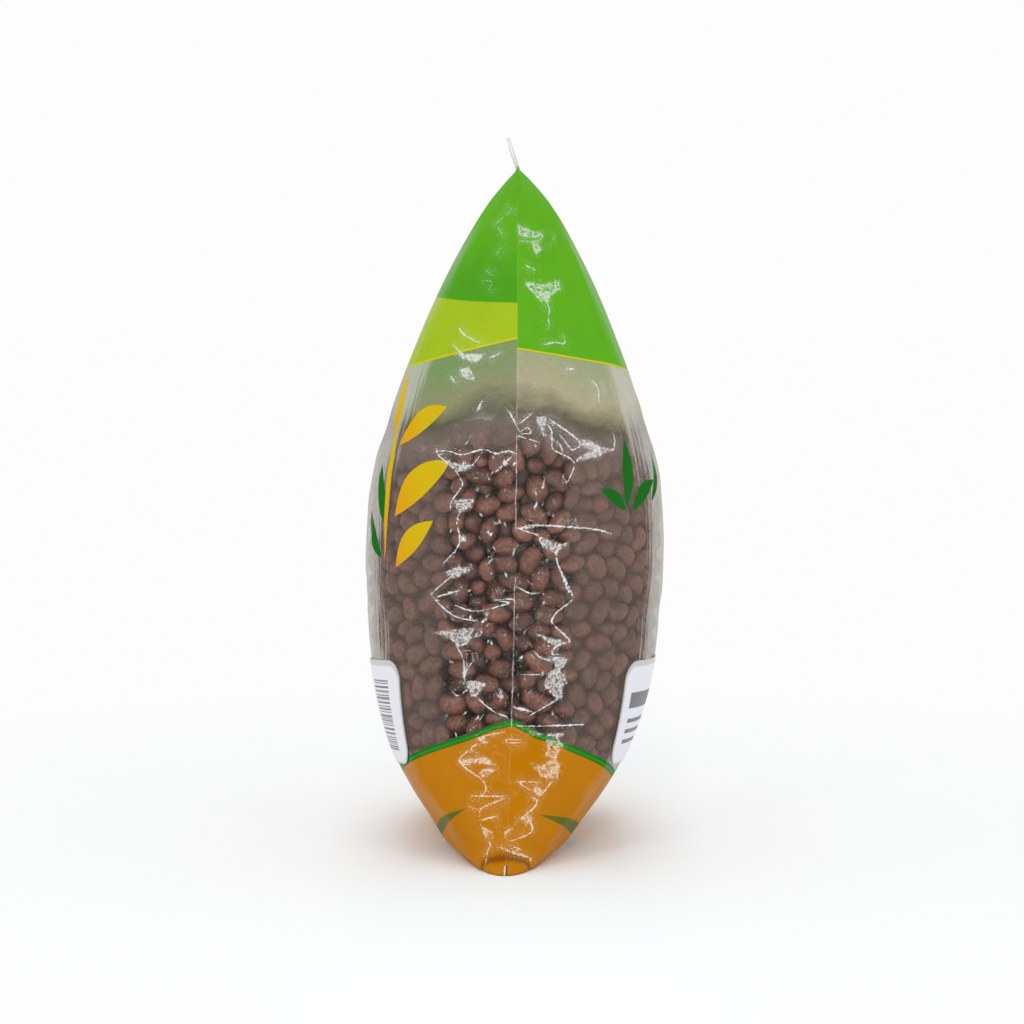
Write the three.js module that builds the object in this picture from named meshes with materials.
import * as THREE from "three";

// Bag of dried beans: a pillow pack of clear film, full of beans, standing upright on its flattened foot.
// Millimetres, +Z up. The pack's thickness lies along X, its width along Y, and it rests at Z = 0.
// The film is a tube sealed flat at the top and at the foot, so its girth is the same at every height:
// where the beans push the faces apart, the two side folds are drawn in.

// film tube
const TUBE_FLAT_WIDTH = 175;
const BODY_HEIGHT = 234;

// distance of the left and right faces from the line of the side folds, at each height
const FACE_STATIONS = [
  { height: 0, distance: 17.5 },
  { height: 4, distance: 24 },
  { height: 10, distance: 28.5 },
  { height: 20, distance: 35.7 },
  { height: 34, distance: 43 },
  { height: 56, distance: 49.2 },
  { height: 82, distance: 51.9 },
  { height: 108, distance: 52.5 },
  { height: 130, distance: 50.3 },
  { height: 150, distance: 44.1 },
  { height: 172, distance: 36.5 },
  { height: 192, distance: 28.2 },
  { height: 210, distance: 19 },
  { height: 223, distance: 11 },
  { height: 231, distance: 4.2 },
  { height: 234, distance: 0.5 },
];

// the side folds lean: their distance from the upright axis at the foot and at the top
const FOLD_AT_FOOT = -3;
const FOLD_AT_TOP = 1;

// section: a pointed lens at the seals, a full round shape at the belly
const FOOT_POWER_X = 2;
const TOP_POWER_X = 1.25;
const SEAL_POWER_Y = 2;
const BELLY_POWER_X = 2.1;
const BELLY_POWER_Y = 2.35;
const FOOT_BLEND_HEIGHT = 60;
const TOP_BLEND_HEIGHT = 120;

// top seal: a thin fin, leaning left and waving along its length
const FIN_HEIGHT = 9.5;
const FIN_LEAN = 3.2;
const FIN_WAVE = 2.2;
const FIN_WAVE_REACH = 45;

// buckles where the spare length of the film gathers beside each side fold
const BUCKLE_PITCH = 23;
const BUCKLE_DEPTH = 2.6;
const BUCKLE_REACH = 17;
const BUCKLE_LOW = 20;
const BUCKLE_HIGH = 200;
const BUCKLE_FADE = 18;

// crease above each bottom corner, where the corner is pushed up from below
const CORNER_CREASE_HEIGHT = 7;
const CORNER_CREASE_DEPTH = 1.8;
const CORNER_CREASE_HALF_HEIGHT = 2.5;
const CORNER_CREASE_REACH = 12;

// stickers, one on each face, slightly askew: each drops towards the far side about a pivot
const STICKER_LOW = 29.5;
const STICKER_HIGH = 65.5;
const STICKER_LENGTH = 76;
const STICKER_START = 44.5;
const STICKER_PIVOT = 55;
const STICKER_DROP_LEFT = 0.1;
const STICKER_DROP_RIGHT = 0.06;
const STICKER_CORNER = 7;
const STICKER_THICKNESS = 0.4;
const STICKER_GAP = 0.35;

// mesh density
const QUARTER_STEPS = 18;
const SECTION_SAMPLES = 360;
const LEVEL_STEPS = [
  { from: 0, to: 20, steps: 9 },
  { from: 20, to: 206, steps: 34 },
  { from: 206, to: 234, steps: 9 },
];
const FIN_STEPS = 3;

const FILM = new THREE.MeshStandardMaterial({
  name: "film",
  color: 0x76605a,
  roughness: 0.25,
  metalness: 0,
});
const LABEL = new THREE.MeshStandardMaterial({
  name: "label",
  color: 0xececf2,
  roughness: 0.6,
  metalness: 0,
});

const clamp01 = (value) => Math.min(1, Math.max(0, value));
const smoothStep = (value) => clamp01(value) ** 2 * (3 - 2 * clamp01(value));
const bell = (value) => Math.exp(-value * value);

// Smooth curve through the stations, read at a height.
function faceDistance(height) {
  const stations = FACE_STATIONS;
  const last = stations.length - 1;
  let i = 0;
  while (i < last - 1 && height > stations[i + 1].height) {
    i += 1;
  }
  const slopeAt = (k) => {
    const before = stations[Math.max(0, k - 1)];
    const after = stations[Math.min(last, k + 1)];
    return (after.distance - before.distance) / (after.height - before.height);
  };
  const low = stations[i];
  const high = stations[i + 1];
  const span = high.height - low.height;
  const t = clamp01((height - low.height) / span);
  const t2 = t * t;
  const t3 = t2 * t;
  return (
    (2 * t3 - 3 * t2 + 1) * low.distance +
    (t3 - 2 * t2 + t) * span * slopeAt(i) +
    (3 * t2 - 2 * t3) * high.distance +
    (t3 - t2) * span * slopeAt(i + 1)
  );
}

function foldLean(height) {
  const down = (1 - height / BODY_HEIGHT) ** 3;
  return FOLD_AT_TOP + (FOLD_AT_FOOT - FOLD_AT_TOP) * down;
}

function sectionPowers(height) {
  const fromFoot = clamp01(height / FOOT_BLEND_HEIGHT) ** 0.7;
  const fromTop = clamp01((BODY_HEIGHT - height) / TOP_BLEND_HEIGHT) ** 0.7;
  const fullness = fromFoot * fromTop;
  const endPowerX = height < BODY_HEIGHT / 2 ? FOOT_POWER_X : TOP_POWER_X;
  return {
    x: endPowerX + (BELLY_POWER_X - endPowerX) * fullness,
    y: SEAL_POWER_Y + (BELLY_POWER_Y - SEAL_POWER_Y) * fullness,
  };
}

// Closed section about the line of the side folds, starting at the near fold and turning towards +X.
function sectionOutline(halfThickness, halfWidth, powers) {
  const outline = [];
  for (let i = 0; i < SECTION_SAMPLES; i += 1) {
    const angle = (2 * Math.PI * i) / SECTION_SAMPLES;
    const sine = Math.sin(angle);
    const cosine = Math.cos(angle);
    outline.push({
      x: halfThickness * Math.sign(sine) * Math.abs(sine) ** (2 / powers.x),
      y: -halfWidth * Math.sign(cosine) * Math.abs(cosine) ** (2 / powers.y),
    });
  }
  return outline;
}

function runningLengths(outline) {
  const lengths = [0];
  outline.forEach((point, i) => {
    const next = outline[(i + 1) % outline.length];
    lengths.push(lengths[i] + Math.hypot(next.x - point.x, next.y - point.y));
  });
  return lengths;
}

// Section of the tube at a height. The half width makes the girth equal to that of the flat tube.
function tubeSection(height) {
  const halfThickness = faceDistance(height);
  const powers = sectionPowers(height);
  let narrow = 20;
  let wide = TUBE_FLAT_WIDTH / 2 + 1;
  for (let i = 0; i < 26; i += 1) {
    const middle = (narrow + wide) / 2;
    const trial = sectionOutline(halfThickness, middle, powers);
    if (runningLengths(trial)[SECTION_SAMPLES] > 2 * TUBE_FLAT_WIDTH) {
      wide = middle;
    } else {
      narrow = middle;
    }
  }
  const outline = sectionOutline(halfThickness, narrow, powers);
  return { height, outline, lengths: runningLengths(outline), halfWidth: narrow };
}

// Point of a section at a distance along the film from the near side fold.
function pointAlong(section, distance) {
  const girth = section.lengths[SECTION_SAMPLES];
  const wanted = ((distance % girth) + girth) % girth;
  let low = 0;
  let high = SECTION_SAMPLES;
  while (high - low > 1) {
    const middle = (low + high) >> 1;
    if (section.lengths[middle] > wanted) {
      high = middle;
    } else {
      low = middle;
    }
  }
  const from = section.outline[low];
  const to = section.outline[high % SECTION_SAMPLES];
  const span = section.lengths[high] - section.lengths[low];
  const t = span > 0 ? (wanted - section.lengths[low]) / span : 0;
  return {
    x: from.x + (to.x - from.x) * t,
    y: from.y + (to.y - from.y) * t,
  };
}

// Depth of the buckles beside a side fold. They alternate between the two sides of the fold.
function buckleDepth(foldDistance, side, height) {
  const fade =
    smoothStep((height - BUCKLE_LOW) / BUCKLE_FADE) *
    smoothStep((BUCKLE_HIGH - height) / BUCKLE_FADE);
  const phase = side > 0 ? 0.5 : 0;
  const along = 0.5 - 0.5 * Math.cos(2 * Math.PI * (height / BUCKLE_PITCH + phase));
  return BUCKLE_DEPTH * fade * along * bell(foldDistance / BUCKLE_REACH);
}

function cornerCreaseDepth(foldDistance, height) {
  const across = bell(foldDistance / CORNER_CREASE_REACH);
  const along = bell((height - CORNER_CREASE_HEIGHT) / CORNER_CREASE_HALF_HEIGHT);
  return CORNER_CREASE_DEPTH * across * along;
}

function sealWave(y, halfWidth, height) {
  const rise = smoothStep((height - BODY_HEIGHT + FIN_WAVE_REACH) / FIN_WAVE_REACH);
  return FIN_WAVE * rise * Math.sin((Math.PI * (y + halfWidth)) / halfWidth);
}

// Point of the bag's surface, given by a section and the distance along the film from the near side fold.
function surfacePoint(section, distance, outward = 0) {
  const girth = section.lengths[SECTION_SAMPLES];
  const here = pointAlong(section, distance);
  const before = pointAlong(section, distance - 0.8);
  const after = pointAlong(section, distance + 0.8);
  const edge = new THREE.Vector2(after.x - before.x, after.y - before.y).normalize();
  const toNearFold = Math.min(distance, girth - distance);
  const toFarFold = Math.abs(distance - girth / 2);
  const foldDistance = Math.min(toNearFold, toFarFold);
  const side = distance < girth / 2 ? 1 : -1;
  const inward =
    buckleDepth(foldDistance, side, section.height) +
    cornerCreaseDepth(foldDistance, section.height);
  const shift = outward - inward;
  const x = here.x + edge.y * shift;
  const y = here.y - edge.x * shift;
  return new THREE.Vector3(
    x + foldLean(section.height) + sealWave(y, section.halfWidth, section.height),
    y,
    section.height,
  );
}

// Geometry from a list of points and a list of triangles that index them.
function geometryFrom(points, triangles) {
  const geometry = new THREE.BufferGeometry();
  geometry.setFromPoints(points);
  geometry.setIndex(triangles);
  geometry.computeVertexNormals();
  return geometry;
}

function bodyLevels() {
  const levels = [0];
  for (const { from, to, steps } of LEVEL_STEPS) {
    for (let i = 1; i <= steps; i += 1) {
      levels.push(from + ((to - from) * i) / steps);
    }
  }
  return levels;
}

// One closed ring of points round the tube, evenly spaced along the film.
function bodyRing(height) {
  const section = tubeSection(height);
  const girth = section.lengths[SECTION_SAMPLES];
  const count = 4 * QUARTER_STEPS;
  const ring = [];
  for (let i = 0; i < count; i += 1) {
    ring.push(surfacePoint(section, (girth * i) / count));
  }
  return ring;
}

// The fin repeats the topmost ring, raised and leaning further left at each step.
function finRings(topRing) {
  const rings = [];
  for (let step = 1; step <= FIN_STEPS; step += 1) {
    const t = step / FIN_STEPS;
    rings.push(
      topRing.map(
        (point) =>
          new THREE.Vector3(point.x - FIN_LEAN * t ** 1.4, point.y, point.z + FIN_HEIGHT * t),
      ),
    );
  }
  return rings;
}

function bagGeometry() {
  const rings = bodyLevels().map(bodyRing);
  rings.push(...finRings(rings[rings.length - 1]));
  const count = rings[0].length;
  const points = rings.flat();
  const triangles = [];
  for (let level = 0; level + 1 < rings.length; level += 1) {
    for (let i = 0; i < count; i += 1) {
      const a = level * count + i;
      const b = level * count + ((i + 1) % count);
      const c = a + count;
      const d = b + count;
      triangles.push(a, b, d, a, d, c);
    }
  }
  // the flat foot and the fin's top edge, each closed by strips from the left half to the right half
  const top = (rings.length - 1) * count;
  for (let i = 0; i < count / 2; i += 1) {
    const right = i;
    const nextRight = i + 1;
    const left = (count - i) % count;
    const nextLeft = count - i - 1;
    if (i > 0) {
      triangles.push(right, left, nextRight);
      triangles.push(top + right, top + nextRight, top + left);
    }
    if (nextRight !== nextLeft) {
      triangles.push(left, nextLeft, nextRight);
      triangles.push(top + left, top + nextRight, top + nextLeft);
    }
  }
  return geometryFrom(points, triangles);
}

// Rows of a sticker: the height of each, and how far it falls short of the full length at each end.
function stickerRows() {
  const rows = [];
  const cornerSteps = 4;
  for (let i = 0; i <= cornerSteps; i += 1) {
    const angle = (Math.PI / 2) * (i / cornerSteps);
    const rise = STICKER_CORNER * (1 - Math.cos(angle));
    const inset = STICKER_CORNER * (1 - Math.sin(angle));
    rows.push({ height: STICKER_LOW + rise, inset });
    rows.push({ height: STICKER_HIGH - rise, inset });
  }
  for (let i = 1; i < 5; i += 1) {
    const low = STICKER_LOW + STICKER_CORNER;
    const high = STICKER_HIGH - STICKER_CORNER;
    rows.push({ height: low + ((high - low) * i) / 5, inset: 0 });
  }
  return rows.sort((a, b) => a.height - b.height);
}

// A thin curved plate that follows the bag's face. side is 1 for the right face and -1 for the left one.
function stickerGeometry(side) {
  const rows = stickerRows();
  const columns = 20;
  const layers = [STICKER_GAP, STICKER_GAP + STICKER_THICKNESS];
  const drop = side > 0 ? STICKER_DROP_RIGHT : STICKER_DROP_LEFT;
  const points = [];
  for (const outward of layers) {
    for (const { height, inset } of rows) {
      for (let i = 0; i <= columns; i += 1) {
        const along =
          STICKER_START + inset + ((STICKER_LENGTH - 2 * inset) * i) / columns;
        const section = tubeSection(height - drop * (along - STICKER_PIVOT));
        const girth = section.lengths[SECTION_SAMPLES];
        points.push(surfacePoint(section, side > 0 ? along : girth - along, outward));
      }
    }
  }
  const width = columns + 1;
  const layer = rows.length * width;
  const triangles = [];
  const quad = (a, b, c, d) => {
    if (side > 0) {
      triangles.push(a, b, c, a, c, d);
    } else {
      triangles.push(a, c, b, a, d, c);
    }
  };
  for (let r = 0; r + 1 < rows.length; r += 1) {
    for (let i = 0; i < columns; i += 1) {
      const a = r * width + i;
      quad(layer + a, layer + a + 1, layer + a + width + 1, layer + a + width);
      quad(a + width, a + width + 1, a + 1, a);
    }
    const start = r * width;
    const end = r * width + columns;
    quad(start, layer + start, layer + start + width, start + width);
    quad(layer + end, end, end + width, layer + end + width);
  }
  const lastRow = (rows.length - 1) * width;
  for (let i = 0; i < columns; i += 1) {
    quad(i, i + 1, layer + i + 1, layer + i);
    quad(
      lastRow + i + 1,
      lastRow + i,
      layer + lastRow + i,
      layer + lastRow + i + 1,
    );
  }
  return geometryFrom(points, triangles);
}

function namedMesh(name, geometry, material) {
  const mesh = new THREE.Mesh(geometry, material);
  mesh.name = name;
  return mesh;
}

const bagOfBeans = new THREE.Group();
bagOfBeans.name = "bag_of_beans";
bagOfBeans.add(namedMesh("bag", bagGeometry(), FILM));
bagOfBeans.add(namedMesh("sticker_left", stickerGeometry(-1), LABEL.clone()));
bagOfBeans.add(namedMesh("sticker_right", stickerGeometry(1), LABEL.clone()));

export default bagOfBeans;
